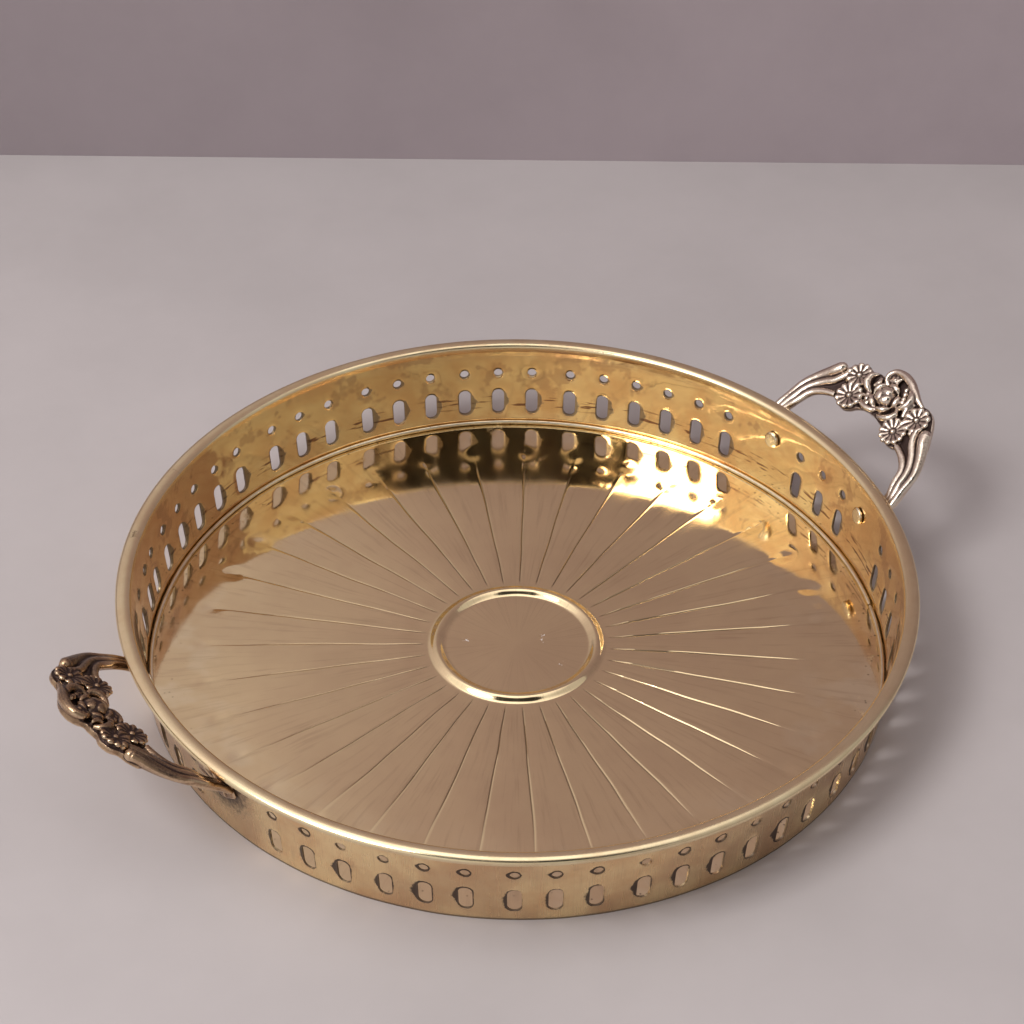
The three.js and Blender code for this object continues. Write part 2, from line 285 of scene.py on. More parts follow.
class Nodes:
    """Shorthand for adding nodes to a tree; a value that is a socket is linked, any other is set."""

    def __init__(self, tree):
        self.tree = tree

    def give(self, socket, value):
        if isinstance(value, bpy.types.NodeSocket):
            self.tree.links.new(value, socket)
        else:
            socket.default_value = value

    def add(self, kind, values=None, **settings):
        node = self.tree.nodes.new(kind)
        for key, value in settings.items():
            setattr(node, key, value)
        for key, value in (values or {}).items():
            self.give(node.inputs[key], value)
        return node

    def maths(self, operation, a, b=0.0):
        return self.add("ShaderNodeMath", {0: a, 1: b}, operation=operation).outputs[0]

    def times(self, a, b):
        return self.maths("MULTIPLY", a, b)

    def plus(self, a, b):
        return self.maths("ADD", a, b)

    def less(self, a, b):
        return self.maths("SUBTRACT", a, b)

    def vector(self, operation, a, b):
        return self.add("ShaderNodeVectorMath", {0: a, 1: b}, operation=operation).outputs[0]

    def dot(self, a, b):
        values = {0: a, 1: tuple(b)}
        return self.add("ShaderNodeVectorMath", values, operation="DOT_PRODUCT").outputs["Value"]

    def split(self, vector):
        return self.add("ShaderNodeSeparateXYZ", {0: vector}).outputs

    def join(self, x, y, z=0.0):
        return self.add("ShaderNodeCombineXYZ", {0: x, 1: y, 2: z}).outputs[0]

    def place(self):
        return self.add("ShaderNodeTexCoord").outputs["Object"]

    def mark(self, name):
        """A named mark read in a Geometry Nodes tree."""
        return self.add("GeometryNodeInputNamedAttribute", {"Name": name}, data_type="FLOAT").outputs[0]

    def attribute(self, name, output="Fac"):
        """A named mark read in a material."""
        return self.add("ShaderNodeAttribute", attribute_name=name).outputs[output]

    def mix(self, factor, a, b):
        return self.add("ShaderNodeMix", {0: factor, 6: a, 7: b}, data_type="RGBA").outputs[2]

    def blend(self, factor, a, b):
        return self.add("ShaderNodeMix", {0: factor, 2: a, 3: b}, data_type="FLOAT").outputs[0]

    def ramp(self, value, low, high, bottom=0.0, top=1.0):
        values = {0: value, 1: low, 2: high, 3: bottom, 4: top}
        return self.add("ShaderNodeMapRange", values, interpolation_type="SMOOTHSTEP").outputs[0]

    def noise(self, vector, scale, detail=2.0, roughness=0.5):
        values = {"Vector": vector, "Scale": scale, "Detail": detail, "Roughness": roughness}
        return self.add("ShaderNodeTexNoise", values).outputs[0]


def add_sockets(tree, inputs, outputs):
    """Named inputs and outputs, each (label, kind)."""
    for side, sockets in (("INPUT", inputs), ("OUTPUT", outputs)):
        for label, kind in sockets:
            tree.interface.new_socket(label, in_out=side, socket_type="NodeSocket" + kind)


# Geometry Nodes: flat tiles laid in a row, worked a little by hand, and rolled into a ring


def rolling_tree():
    tree = bpy.data.node_groups.new("Row of tiles rolled into a ring", "GeometryNodeTree")
    inputs = (("Geometry", "Geometry"), ("Worked tile", "Object"), ("Plain tile", "Object"),
              ("Rolling radius", "Float"), ("Hand work", "Vector"), ("Hand work size", "Float"),
              ("Seed", "Float"), ("Material", "Material"))
    add_sockets(tree, inputs, (("Geometry", "Geometry"),))
    n = Nodes(tree)
    given = n.add("NodeGroupInput").outputs
    values = {0: n.mark("worked"), 1: 0.5}
    worked = n.add("FunctionNodeCompare", values, operation="GREATER_THAN").outputs[0]
    bare = n.add("FunctionNodeBooleanMath", {0: worked}, operation="NOT").outputs[0]
    stretch = n.join(n.mark("span"), 1.0, 1.0)
    rows = []
    for tile, chosen in (("Worked tile", worked), ("Plain tile", bare)):
        shape = n.add("GeometryNodeObjectInfo", {"Object": given[tile]}).outputs["Geometry"]
        values = {"Points": given["Geometry"], "Selection": chosen, "Instance": shape, "Scale": stretch}
        rows.append(n.add("GeometryNodeInstanceOnPoints", values).outputs[0])
    joined = n.add("GeometryNodeJoinGeometry")
    for row in rows:
        tree.links.new(row, joined.inputs[0])
    flat = n.add("GeometryNodeRealizeInstances", {0: joined.outputs[0]}).outputs[0]
    place = n.add("GeometryNodeInputPosition").outputs[0]
    keep = {"Geometry": flat, "Name": "sheet", "Value": place}
    kept = n.add("GeometryNodeStoreNamedAttribute", keep, data_type="FLOAT_VECTOR").outputs[0]
    x, y, z = n.split(place)
    turn = n.maths("DIVIDE", x, given["Rolling radius"])
    east = n.times(y, n.maths("COSINE", turn))
    north = n.times(y, n.maths("SINE", turn))
    rolled_place = n.join(east, north, z)
    rolled = n.add("GeometryNodeSetPosition", {"Geometry": kept, "Position": rolled_place}).outputs[0]
    scale = n.maths("DIVIDE", 1.0, given["Hand work size"])
    noise_in = {"Vector": place, "W": given["Seed"], "Scale": scale, "Detail": 1.0}
    noise = n.add("ShaderNodeTexNoise", noise_in, noise_dimensions="4D").outputs["Color"]
    centred = n.vector("SUBTRACT", noise, (0.5, 0.5, 0.5))
    push = n.vector("MULTIPLY", n.vector("MULTIPLY", centred, given["Hand work"]), n.mark("free"))
    shaped = n.add("GeometryNodeSetPosition", {"Geometry": rolled, "Offset": push}).outputs[0]
    values = {"Geometry": shaped, "Distance": MERGE_DISTANCE}
    closed = n.add("GeometryNodeMergeByDistance", values).outputs[0]
    values = {"Geometry": closed, "Material": given["Material"]}
    finished = n.add("GeometryNodeSetMaterial", values).outputs[0]
    tree.links.new(finished, n.add("NodeGroupOutput").inputs[0])
    return tree


rolling = rolling_tree()


def roll_up(name, starts, worked_tile, plain_tile, radius, hand_work, hand_size, seed, material):
    """starts: (place along the row, worked or plain, width) for each tile, in the row's own units."""
    mesh = bpy.data.meshes.new(name)
    mesh.from_pydata([(start, 0, 0) for start, _, _ in starts], [], [])
    for mark, column in (("worked", 1), ("span", 2)):
        values = [float(row[column]) for row in starts]
        mark_points(mesh, mark, values)
    row = add_object(name, mesh)
    modifier = row.modifiers.new("Rolling", "NODES")
    modifier.node_group = rolling
    given = {
        "Worked tile": worked_tile,
        "Plain tile": plain_tile,
        "Rolling radius": radius,
        "Hand work": hand_work,
        "Hand work size": hand_size,
        "Seed": seed,
        "Material": material,
    }
    for socket in rolling.interface.items_tree:
        if socket.in_out == "INPUT" and socket.name in given:
            modifier[socket.identifier] = given[socket.name]
    evaluated = row.evaluated_get(bpy.context.evaluated_depsgraph_get())
    finished = bpy.data.meshes.new_from_object(evaluated)
    finished.name = name
    row.modifiers.clear()
    row.data = finished
    for tile in {worked_tile, plain_tile}:
        bpy.data.objects.remove(tile)
    face_outwards(row)
    shade(row)
    return row


# Gallery band


def cut_outline(half_width, half_height, corner, middle, steps_up):
    """Points round a cut from its lower left corner, in four runs that match the room's four sides."""
    signs = ((-1, -1), (1, -1), (1, 1), (-1, 1))
    runs = []
    for i, steps in enumerate((ACROSS, steps_up, ACROSS, steps_up)):
        dense = []
        for corner_index, start in ((i, 225 + 90 * i), ((i + 1) % 4, 270 + 90 * i)):
            sx, sz = signs[corner_index]
            centre = (sx * (half_width - corner), middle + sz * (half_height - corner))
            dense += oval(centre, corner, corner, start, start + 45, 6)
        dense = np.array(dense)
        length = np.concatenate([[0], np.cumsum(np.linalg.norm(np.diff(dense, axis=0), axis=1))])
        at = np.linspace(0, length[-1], steps + 1)[:-1]
        runs.append(np.stack([np.interp(at, length, dense[:, k]) for k in (0, 1)], 1))
    return np.concatenate(runs)


def room_border(half_width, low, high, steps_up):
    corners = ((-half_width, low), (half_width, low), (half_width, high), (-half_width, high))
    corners = np.array(corners)
    runs = []
    for i, steps in enumerate((ACROSS, steps_up, ACROSS, steps_up)):
        t = np.linspace(0, 1, steps + 1)[:-1, None]
        runs.append(corners[i] * (1 - t) + corners[(i + 1) % 4] * t)
    return np.concatenate(runs)


RINGS = np.array([0, 0.05, 0.12, 0.26, 0.48, 0.72, 1.0])


def bendable(z):
    """How much hand work may move the wall at a height."""
    return 1 - ease(z, *WORK_FADE)


def pierced_room(shell, outline, border, half_width):
    """The sheet round one cut: pushed outwards by the punch, rounded over inside and burred outside."""
    flat = outline[None] + (border - outline)[None] * RINGS[:, None, None]
    away = np.linalg.norm(flat - outline[None], axis=2)
    bulge = PUNCH_BULGE * np.exp(-away / BULGE_REACH) * (1 - RINGS[:, None] ** 2)
    near = np.exp(-away / STAIN_REACH)
    middle, reach = outline[:, 1].mean(), np.ptp(outline[:, 1]) / 2
    beside = 1 - np.clip(np.abs(flat[:, :, 1] - middle) / reach, 0, 1)
    lee = np.exp(-away / LEE_REACH) * ease(-flat[:, :, 0], 0, 2)
    lee *= (0.25 + 2.0 * beside) * min(1, reach / 4.5)
    faces = {}
    sides = ((1.0, BURR, BURR_REACH), (0.0, ROUNDING, ROUNDING_REACH))
    for outer, shift, shift_reach in sides:
        depth = wall_radius(flat[:, :, 1]) + bulge + shift * np.exp(-(away / shift_reach) ** 2)
        depth -= 0 if outer else WALL_SHEET
        grid = np.stack([flat[:, :, 0] + half_width, depth, flat[:, :, 1]], 2)
        free = bendable(flat[:, :, 1])
        shell.grid(grid, around=True, outer=outer, near=near, lee=lee, free=free)
        faces[outer] = grid[0]
    edge = np.stack([faces[1.0], 0.5 * (faces[1.0] + faces[0.0]), faces[0.0]])
    shell.grid(edge, around=True, outer=0.5, near=1.0, free=bendable(edge[:, :, 2]))


def curl_profile():
    """Section of the rolled rim, from the wall's outer face round the wire to its inner face."""
    wide, high = BEAD_HALF
    inside = oval(BEAD_CENTRE, wide - CURL_SHEET, high - CURL_SHEET, 205, -110, 12)
    outside = oval(BEAD_CENTRE, wide, high, -110, 176, 24)
    heights = np.linspace(HOLE_ROOM_TOP, FLARE_END - 0.4, 5)
    rising = [(wall_radius(z), z) for z in heights[:-1]]
    falling = [(wall_radius(z) - WALL_SHEET, z) for z in heights[::-1]]
    return np.array([*rising, *inside, *outside, *falling])


def add_curl(shell, width, steps):
    profile = curl_profile()
    x = np.linspace(0, width, steps + 1)
    grid = np.empty((len(profile), len(x), 3))
    grid[:, :, 0] = x
    grid[:, :, 1] = profile[:, :1]
    grid[:, :, 2] = profile[:, 1:]
    bead = ease(profile[:, 1], 38.6, 39.4)[:, None] + np.zeros((1, len(x)))
    outer = np.where(np.arange(len(profile)) < 18, 1.0, 0.0)[:, None] + np.zeros((1, len(x)))
    shell.grid(grid, outer=outer, free=bendable(grid[:, :, 2]), bead=bead)


def add_foot(shell, width, steps):
    x = np.linspace(0, width, steps + 1)
    grid = np.zeros((2, len(x), 3))
    grid[:, :, 0] = x
    grid[0, :, 1] = WALL_FOOT_RADIUS
    grid[1, :, 1] = WALL_FOOT_RADIUS - WALL_SHEET
    shell.grid(grid, outer=1.0, free=1.0)


MARKS = ("outer", "near", "lee", "free", "bead")


def pierced_tile():
    shell = Shell(*MARKS)
    width = math.radians(GROUP_PITCH) * ROLLING_RADIUS
    half = width / 2
    slot = cut_outline(*SLOT_HALF, SLOT_CORNER, SLOT_MIDDLE, SLOT_STEPS)
    pierced_room(shell, slot, room_border(half, 0, SLOT_ROOM_TOP, SLOT_STEPS), half)
    hole = cut_outline(HOLE_RADIUS, HOLE_RADIUS, HOLE_RADIUS, PIERCING_Z, HOLE_STEPS)
    pierced_room(shell, hole, room_border(half, SLOT_ROOM_TOP, HOLE_ROOM_TOP, HOLE_STEPS), half)
    add_curl(shell, width, ACROSS)
    add_foot(shell, width, ACROSS)
    return shell.build("Pierced tile")


def plain_tile():
    """One unit wide, stretched to fill the space between two groups of slots."""
    shell = Shell(*MARKS)
    low = np.linspace(0, SLOT_ROOM_TOP, SLOT_STEPS + 1)
    high = np.linspace(SLOT_ROOM_TOP, HOLE_ROOM_TOP, HOLE_STEPS + 1)
    z = np.concatenate([low, high[1:]])
    x = np.linspace(0, 1 / MM, ACROSS + 1)
    for outer in (1.0, 0.0):
        grid = np.empty((len(z), len(x), 3))
        grid[:, :, 0] = x
        grid[:, :, 1] = wall_radius(z)[:, None] - (0 if outer else WALL_SHEET)
        grid[:, :, 2] = z[:, None]
        shell.grid(grid, outer=outer, free=bendable(grid[:, :, 2]))
    add_curl(shell, 1 / MM, ACROSS)
    add_foot(shell, 1 / MM, ACROSS)
    return shell.build("Plain tile")


def gallery_band(material):
    starts = []
    degree = math.radians(1) * ROLLING_RADIUS * MM
    half_group = 1.5 * GROUP_PITCH
    for i, middle in enumerate(GROUPS):
        for k in range(3):
            starts.append(((middle - half_group + k * GROUP_PITCH) * degree, 1, 1.0))
        following = GROUPS[(i + 1) % len(GROUPS)] + (360 if i == len(GROUPS) - 1 else 0)
        gap = following - middle - 2 * half_group
        starts.append(((middle + half_group) * degree, 0, gap * degree))
    tiles = (pierced_tile(), plain_tile())
    work = (WALL_WORK, WALL_WORK_SIZE, WALL_SEED)
    return roll_up("Gallery_band", starts, *tiles, ROLLING_RADIUS * MM, *work, material)


# Floor


def floor_sector():
    """One flute, from the middle of one groove to the next, drawn as angle, radius and height."""
    shell = Shell("free", "groove", "under")
    half = [0, 0.012, 0.03, 0.07, 0.12, 0.18, 0.25, 0.34]
    across = np.array([*half, 0.5, *(1 - v for v in half[::-1])])
    step = 2 * math.pi / FLUTES
    ring = MEDALLION_RADIUS + MEDALLION_HALF_WIDTH * np.linspace(-1.3, 1.3, 23)
    flutes = (np.linspace(40, 52, 9), np.linspace(55, 108, 16), np.linspace(110, 142, 22))
    radii = np.concatenate([[0, 3, 8, 14, 20, 25], ring, *flutes, [145, 148, 151, 153.2, FLOOR_RADIUS]])
    turn, radius = np.meshgrid(across, radii)
    strength = ease(radius, FLUTE_START, FLUTE_FULL) * (1 - ease(radius, FLUTE_FADE, FLUTE_END))
    crest = 0.4 * (1 - (2 * turn - 1) ** 2) + 0.7 * (1 - turn) * ease(turn, 0, 0.03)
    from_groove = np.minimum(turn, 1 - turn) * step * radius
    cut = ease(radius, 38.2, 41.5) * (1 - ease(radius, 92, 128))
    groove = cut * np.exp(-(from_groove / GROOVE_WIDTH) ** 2)
    from_dimple = (radius - DIMPLE_RADIUS) / DIMPLE_HALF[0]
    dimple = np.exp(-from_dimple ** 2 - (from_groove / DIMPLE_HALF[1]) ** 2)
    from_ring = np.clip((radius - MEDALLION_RADIUS) / MEDALLION_HALF_WIDTH, -1, 1)
    lift = MEDALLION_RISE * np.cos(from_ring * np.pi / 2) ** 2
    height = FLOOR_TOP + FLUTE_RISE * strength * crest - GROOVE_DEPTH * groove + lift
    height -= DIMPLE_DEPTH * dimple
    free = (1 - ease(radius, 146, 152)) * ease(radius, 38, 60)
    x = turn * step / MM
    shell.grid(np.stack([x, radius, height], 2), free=free, groove=groove)
    below_flutes = [42, 46, 50, 60, 80, 100, 112, 122, 132, 142]
    wanted = np.concatenate([[0, 14], ring[::3], below_flutes, [151, FLOOR_RADIUS]])
    thin = np.unique(np.abs(radii[:, None] - wanted[None]).argmin(0))
    below = np.maximum(height[thin] - FLOOR_TOP, 0)
    shell.grid(np.stack([x[thin], radius[thin], below], 2), free=free[thin], under=1.0)
    rim = [np.stack([x[-1], radius[-1], level[-1]], 1) for level in (height, below)]
    shell.grid(rim, under=0.5)
    return shell.build("Flute")


def floor_pan(material):
    step = 2 * math.pi / FLUTES
    starts = [(math.radians(FLUTE_PHASE) + i * step, 1, 1.0) for i in range(FLUTES)]
    sector = floor_sector()
    work = (FLOOR_WORK, FLOOR_WORK_SIZE, FLOOR_SEED)
    return roll_up("Floor_pan", starts, sector, sector, 1.0, *work, material)


# Corner ring and rim wire


def seam_ring(material):
    shell = Shell()
    gap = SEAM_GAP / SEAM_RADIUS
    a = math.radians(SEAM_GAP_AZIMUTH) + np.linspace(gap / 2, 2 * math.pi - gap / 2, 361)
    sway = 0.06 * np.sin(7 * a) + 0.05 * np.sin(17 * a + 1)
    path = around_axis(SEAM_RADIUS + sway, a, SEAM_Z)
    thin = np.ones(len(a))
    thin[[0, -1]] = 0.72
    shell.tube(swept_rings(path, SEAM_WIRE * round_section(14), (0, 0, 1), thin, thin))
    return complete(shell.build("Seam_ring"), material)


def rim_wire(material):
    shell = Shell()
    a = np.linspace(0, 2 * math.pi, 241)[:-1]
    section = WIRE_RADIUS * round_section(10)
    grid = around_axis(BEAD_CENTRE[0] + section[:, 0], a[:, None], BEAD_CENTRE[1] + section[:, 1])
    shell.tube(grid, closed=True)
    return complete(shell.build("Rim_wire"), material)


# Rivets


def rivet(name, azimuth, material):
    slope = math.atan((WALL_TOP_RADIUS - WALL_FOOT_RADIUS) / WALL_TOP)
    face = -(WALL_SHEET + 2 * FIT)
    end = FIT + PAD_THICKNESS
    top = face - RIVET_HEAD_THICKNESS
    head = [(0, top), (1.6, top), (2.8, top + 0.06), (3.35, top + 0.22), (3.65, top + 0.5),
            (RIVET_HEAD, top + 0.85), (3.7, face)]
    shank = [(RIVET_SHANK + 0.15, face), (RIVET_SHANK, face + 0.3), (RIVET_SHANK, end - 0.2),
             (1.4, end), (0, end + 0.05)]
    profile = np.array(head + shank)
    a = np.linspace(0, 2 * math.pi, 41)[:-1] + azimuth
    uneven = 1 + 0.025 * np.sin(3 * a + azimuth) + 0.015 * np.sin(5 * a)
    shell = Shell()
    shell.grid(around_axis(profile[:, :1] * uneven, a, profile[:, 1:]), around=True)
    piece = shell.build(name)
    place = Matrix.Rotation(math.radians(azimuth), 4, "Z")
    place @= Matrix.Translation((wall_radius(PIERCING_Z) * MM, 0, PIERCING_Z * MM))
    place @= Matrix.Rotation(math.pi / 2 + slope, 4, "Y")
    piece.data.transform(place)
    return complete(piece, material, MERGE_DISTANCE)


# Cast handles
# Drawn as (sideways, outwards, proud): along +Y, up the lean from the rim, and proud of the plane.

PROUD = np.array([-math.sin(LEAN), 0, math.cos(LEAN)])
OUTWARDS = np.array([math.cos(LEAN), 0, math.sin(LEAN)])
SIDEWAYS = np.array([0.0, 1.0, 0.0])


def on_handle(points):
    p = np.asarray(points, float)
    root = np.array([HANDLE_ROOT[0], 0, HANDLE_ROOT[1]])
    return root + p[..., :1] * SIDEWAYS + p[..., 1:2] * OUTWARDS + p[..., 2:] * PROUD


PLATE_OUTER = [(33, 26), (29.5, 29.5), (26, 31.5), (24.5, 35), (20, 37.2), (15.5, 36.5), (13, 37.6),
               (9, 38.6), (8, 41), (5.5, 43.6), (2, 44.6), (-3, 44), (-8, 41.8), (-12, 39.4), (-15.5, 38.4),
               (-20, 38.8), (-24.5, 37.2), (-27.5, 34.2), (-31, 29.5), (-34, 25)]
PLATE_INNER = [(30.5, 14.8), (27, 16.4), (22, 17), (18.5, 15.4), (14.5, 14.9), (11, 16.7), (9, 19),
               (6, 20.6), (2, 21.3), (-2, 21.2), (-6, 20.3), (-9.5, 19.3), (-12, 17), (-15, 15.5),
               (-19, 15.4), (-22.5, 16.8), (-26, 16.4), (-30.5, 14)]


def plate(shell):
    """The flat back of the crest, dished between its two edges."""
    outer = curve_through(PLATE_OUTER, 150)
    inner = curve_through(PLATE_INNER, 150)
    t = np.linspace(0, 1, 14)
    section = [(s, -0.75 - 0.55 * math.sin(math.pi * s)) for s in t] + [(s, -3.3) for s in t[::-1]]
    rings = [[[*(low * (1 - s) + high * s), w] for s, w in section] for low, high in zip(inner, outer)]
    shell.tube(on_handle(rings))


def ball(shell, at, radius, squash=1.0):
    rows = np.linspace(0, np.pi, 10)[1:-1]
    a = np.linspace(0, 2 * np.pi, 15)[:-1]
    rings = around_axis(radius * np.sin(rows)[:, None], a, squash * radius * np.cos(rows)[:, None])
    shell.tube(on_handle(rings + np.asarray(at, float)))


def petal(shell, root, angle, reach, width, height, lift):
    """A rounded petal from root outwards, its far end lifted."""
    t = np.linspace(0.02, 0.98, 9)
    along = around_axis(reach * t, angle, lift * t**1.5)
    full = np.sin(np.pi * t**0.75) ** 0.6
    path = on_handle(np.asarray(root, float) + along)
    shell.tube(swept_rings(path, round_section(10), PROUD, width * full, height * full))


def daisy(shell, at, radius, petals, turn, lift=0.9, boss=1.2):
    """A flower of broad petals, each widening to a rounded end and touching its neighbours."""
    u, v, w = at
    a = np.linspace(0, 2 * np.pi, 25)[:-1]
    disc = [(0.3, w - 0.7), (0.8, w - 0.5), (0.9, w - 0.9), (0.86, -3.3), (0.3, -3.3)]
    shell.tube(on_handle([around_axis(s * radius, a, z) + (u, v, 0) for s, z in disc]))
    t = np.array([0.0, 0.15, 0.35, 0.55, 0.72, 0.84, 0.92, 0.97, 1.0])
    reach = radius * (0.16 + 0.84 * t)
    rounding = np.array([1, 1, 1, 1, 1, 0.93, 0.74, 0.5, 0.18])
    wide = 0.98 * math.pi * reach / petals * rounding
    thick = np.array([0.5, 0.7, 0.85, 0.95, 1.0, 0.95, 0.8, 0.55, 0.2])
    for k in range(petals):
        angle = turn + 2 * np.pi * k / petals
        path = around_axis(reach, angle, w + lift * t**1.6) + (u, v, 0)
        shell.tube(swept_rings(on_handle(path), round_section(12), PROUD, wide, 1.05 * thick))
    ball(shell, (u, v, w + 0.65), boss, 0.85)


def strand(shell, points, radii, squash=1.0, count=26):
    """A rounded strand on the crest: (sideways, outwards, proud) points and its radius along the way."""
    path = on_handle(curve_through(points, count))
    radius = taper(radii, count)
    shell.tube(swept_rings(path, round_section(12), PROUD, radius, squash * radius))


def foot_point(radius, sideways, sign, z):
    return (math.sqrt(radius * radius - sideways * sideways), sign * sideways, z)


# Each reed of an arm: where it runs on the handle's plane, and its radius along the way.
REEDS = {
    -1: ([(34.9, 5, -0.7), (32.8, 11.2, -0.6), (28.6, 14.9, -0.5), (25, 16.6, -0.3), (21.8, 17.6, -0.2)],
         (1.0, 1.25, 1.4, 1.45, 1.4, 1.15)),
    0: ([(37.7, 5, -0.5), (36, 12, -0.4), (31.6, 18.4, -0.2), (27.2, 22.6, 0.2), (25.2, 26.2, 0.6),
         (24.2, 29.4, 0.5)],
        (1.0, 1.25, 1.45, 1.45, 1.5, 1.2)),
    1: ([(40.4, 5, -0.9), (39.5, 12.2, -0.9), (36, 19.2, -0.6), (33.2, 23.2, -0.1), (31, 26.2, 0.4),
         (29.4, 28.8, 0.5)],
        (1.0, 1.25, 1.45, 1.6, 2.0, 2.3)),
}


def arm(shell, sign):
    foot = wall_radius(30) + FIT + PAD_THICKNESS / 2
    for lane, (points, radii) in REEDS.items():
        start = [foot_point(foot + d, 39.2 + 0.4 * (d > 3) + 2.0 * lane, sign, z)
                 for d, z in ((0.1, 28.6), (3.2, 32.6), (8.4, 37.0))]
        path = np.array(start + [tuple(on_handle((sign * u, v, w))) for u, v, w in points])
        path = curve_through(path, 70)
        radius = taper(radii, 70)
        shell.tube(swept_rings(path, round_section(14), PROUD, 1.24 * radius, 1.05 * radius))
    ball(shell, (sign * 29.3, 29.0, 0.3), 2.5)
    core = [foot_point(foot + d, 39.3, sign, z) for d, z in ((0.0, 28.9), (3.3, 32.4), (8.6, 36.6))]
    core += [tuple(on_handle((sign * u, v, w))) for u, v, w in
             ((38, 5, -1.7), (36, 12, -1.8), (32, 18.5, -1.9), (28, 22.5, -1.9), (22, 26, -1.9))]
    path = curve_through(core, 60)
    wide = taper((3.2, 4.1, 4.5, 6.2), 60, at=(0, 0.25, 0.6, 1))
    section = round_section(20)
    section = np.sign(section) * np.abs(section) ** 0.75
    shell.tube(swept_rings(path, section, PROUD, wide, 1.45))


PAD_OUTLINE = [(9.5, 4), (10.5, -1), (7, -5.5), (0, -6.2), (-7, -4.6), (-12, -0.5), (-9, 3.8), (-2, 6.2),
               (5, 7), (9.5, 4)]
# Each ring of the pad: its size against the outline, and how far it stands off the wall.
PAD_RINGS = ((0.05, 0.0), (0.6, 0.0), (0.97, 0.0), (1.0, 0.5), (0.96, 1.2), (0.8, 1.7), (0.5, 1.9),
             (0.05, 1.9))
PAD_RIBS = ((-9.5, 0), (-6, 4.2), (-5.5, -3.6), (0, -5), (0, 5), (5.5, -3.8))


def pad(shell, sign):
    """A leaf-shaped foot lying against the wall, ribbed from its stalk."""
    outline = curve_through(PAD_OUTLINE, 49)[:-1]
    middle = math.radians(RIVET_AZIMUTH)

    def on_wall(sideways, z, stand):
        radius = wall_radius(z) + FIT + stand
        turn = sign * (middle + sideways / ROLLING_RADIUS)
        return around_axis(radius, turn, z)

    rings = []
    for scale, stand in PAD_RINGS:
        ripple = 1 + 0.05 * np.cos(np.arange(len(outline)) * 2 * np.pi / 6) * scale
        sideways, upwards = (outline * (scale * ripple)[:, None]).T
        rings.append(on_wall(sideways, PIERCING_Z + upwards, stand))
    shell.tube(rings)
    off_wall = (math.cos(middle), sign * math.sin(middle), 0)
    for du, dz in PAD_RIBS:
        t = np.linspace(0, 1, 12)
        path = on_wall(5 + (du - 5) * t, PIERCING_Z + 1 + (dz - 1) * t, 1.5 + 0.3 * np.sin(np.pi * t))
        shell.tube(swept_rings(path, 0.75 * round_section(8), off_wall))


